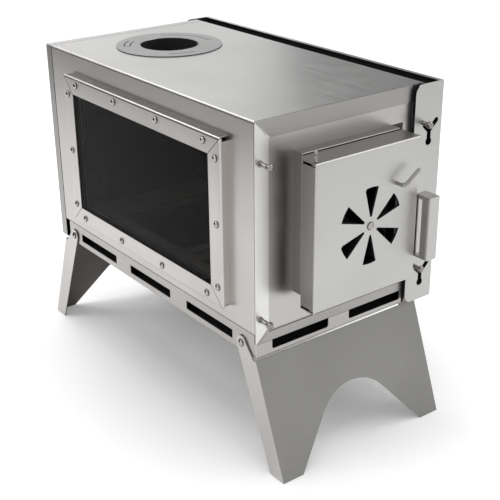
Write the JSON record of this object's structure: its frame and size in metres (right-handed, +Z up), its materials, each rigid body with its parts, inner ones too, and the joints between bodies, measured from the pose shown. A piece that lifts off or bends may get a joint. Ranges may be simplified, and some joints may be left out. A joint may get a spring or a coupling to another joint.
{
  "type": "camping wood stove",
  "caption": "Folding-leg camping wood stove in folded stainless sheet, with side windows, a hinged door with air damper and latch, a twist-lock flue ring and a hung side guard.",
  "frame": {"origin": "on the ground, under the centre of the stove's bounding box", "axes": "+Z up, +X towards the door, -Y towards the window that has no guard"},
  "size_m": [0.4984, 0.2554, 0.372],
  "materials": {
    "satin_stainless": "satin, cold rolled",
    "bright_stainless": "bright turned",
    "leg_stainless": "satin, cold rolled",
    "heat_dulled_stainless": "dull",
    "ceramic_glass": "polished",
    "fibre_gasket": "woven glass fibre",
    "brass_bush": "turned"
  },
  "bodies": {
    "stove": {"shell": "satin_stainless", "door_end_frame": "satin_stainless", "door_end_panel": "satin_stainless", "rear_cover": "satin_stainless", "floor_plate": "heat_dulled_stainless", "fire_grate": "heat_dulled_stainless", "base_frame": "satin_stainless", "flue_ring": "satin_stainless", "flue_socket": "heat_dulled_stainless", "door_collar": "satin_stainless", "hinge_pin": "bright_stainless", "near_glass": "ceramic_glass", "near_gasket": "fibre_gasket", "near_bezel_top": "satin_stainless", "near_bezel_bottom": "satin_stainless", "near_bezel_front": "satin_stainless", "near_bezel_rear": "satin_stainless", "near_rivets": "bright_stainless", "far_glass": "ceramic_glass", "far_gasket": "fibre_gasket", "far_bezel_top": "satin_stainless", "far_bezel_bottom": "satin_stainless", "far_bezel_front": "satin_stainless", "far_bezel_rear": "satin_stainless", "far_rivets": "bright_stainless", "guard_posts": "bright_stainless", "guard_post_nuts": "bright_stainless", "leg_rivets": "bright_stainless", "leg_rivet_tails": "bright_stainless"},
    "guard": {"guard_panel": "satin_stainless"},
    "door_leg": {"door_leg": "leg_stainless"},
    "rear_leg": {"rear_leg": "leg_stainless"},
    "door": {"door_pan": "satin_stainless", "door_handle": "satin_stainless", "handle_rivets": "bright_stainless", "damper_screw": "bright_stainless", "damper_nut": "bright_stainless", "latch_bush": "brass_bush"},
    "damper": {"damper_disc": "satin_stainless"},
    "latch": {"latch_lever": "bright_stainless", "latch_clip": "bright_stainless", "latch_cam": "satin_stainless"}
  },
  "joints": [
    {"name": "door_hinge", "type": "hinge", "parent": "stove", "child": "door", "pos_m": [0.22816, -0.07195, 0.2548], "axis": [0, 0, -1], "range_deg": [0, 110]},
    {"name": "damper_turn", "type": "hinge", "parent": "door", "child": "damper", "pos_m": [0.23156, -0.00425, 0.253], "axis": [1, 0, 0], "continuous": true},
    {"name": "latch_turn", "type": "hinge", "parent": "door", "child": "latch", "pos_m": [0.23366, 0.02925, 0.29], "axis": [-1, 0, 0], "range_deg": [0, 90]},
    {"name": "door_leg_fold", "type": "hinge", "parent": "stove", "child": "door_leg", "pos_m": [0.17066, -0.00625, 0.134], "axis": [0, 1, 0], "range_deg": [0, 110.3]},
    {"name": "rear_leg_fold", "type": "hinge", "parent": "stove", "child": "rear_leg", "pos_m": [-0.17934, -0.00625, 0.134], "axis": [0, -1, 0], "range_deg": [0, 110.3]},
    {"name": "guard_lift", "type": "slide", "parent": "stove", "child": "guard", "axis": [0, -0.725, 0.6887], "range_m": [0, 0.0135]}
  ]
}
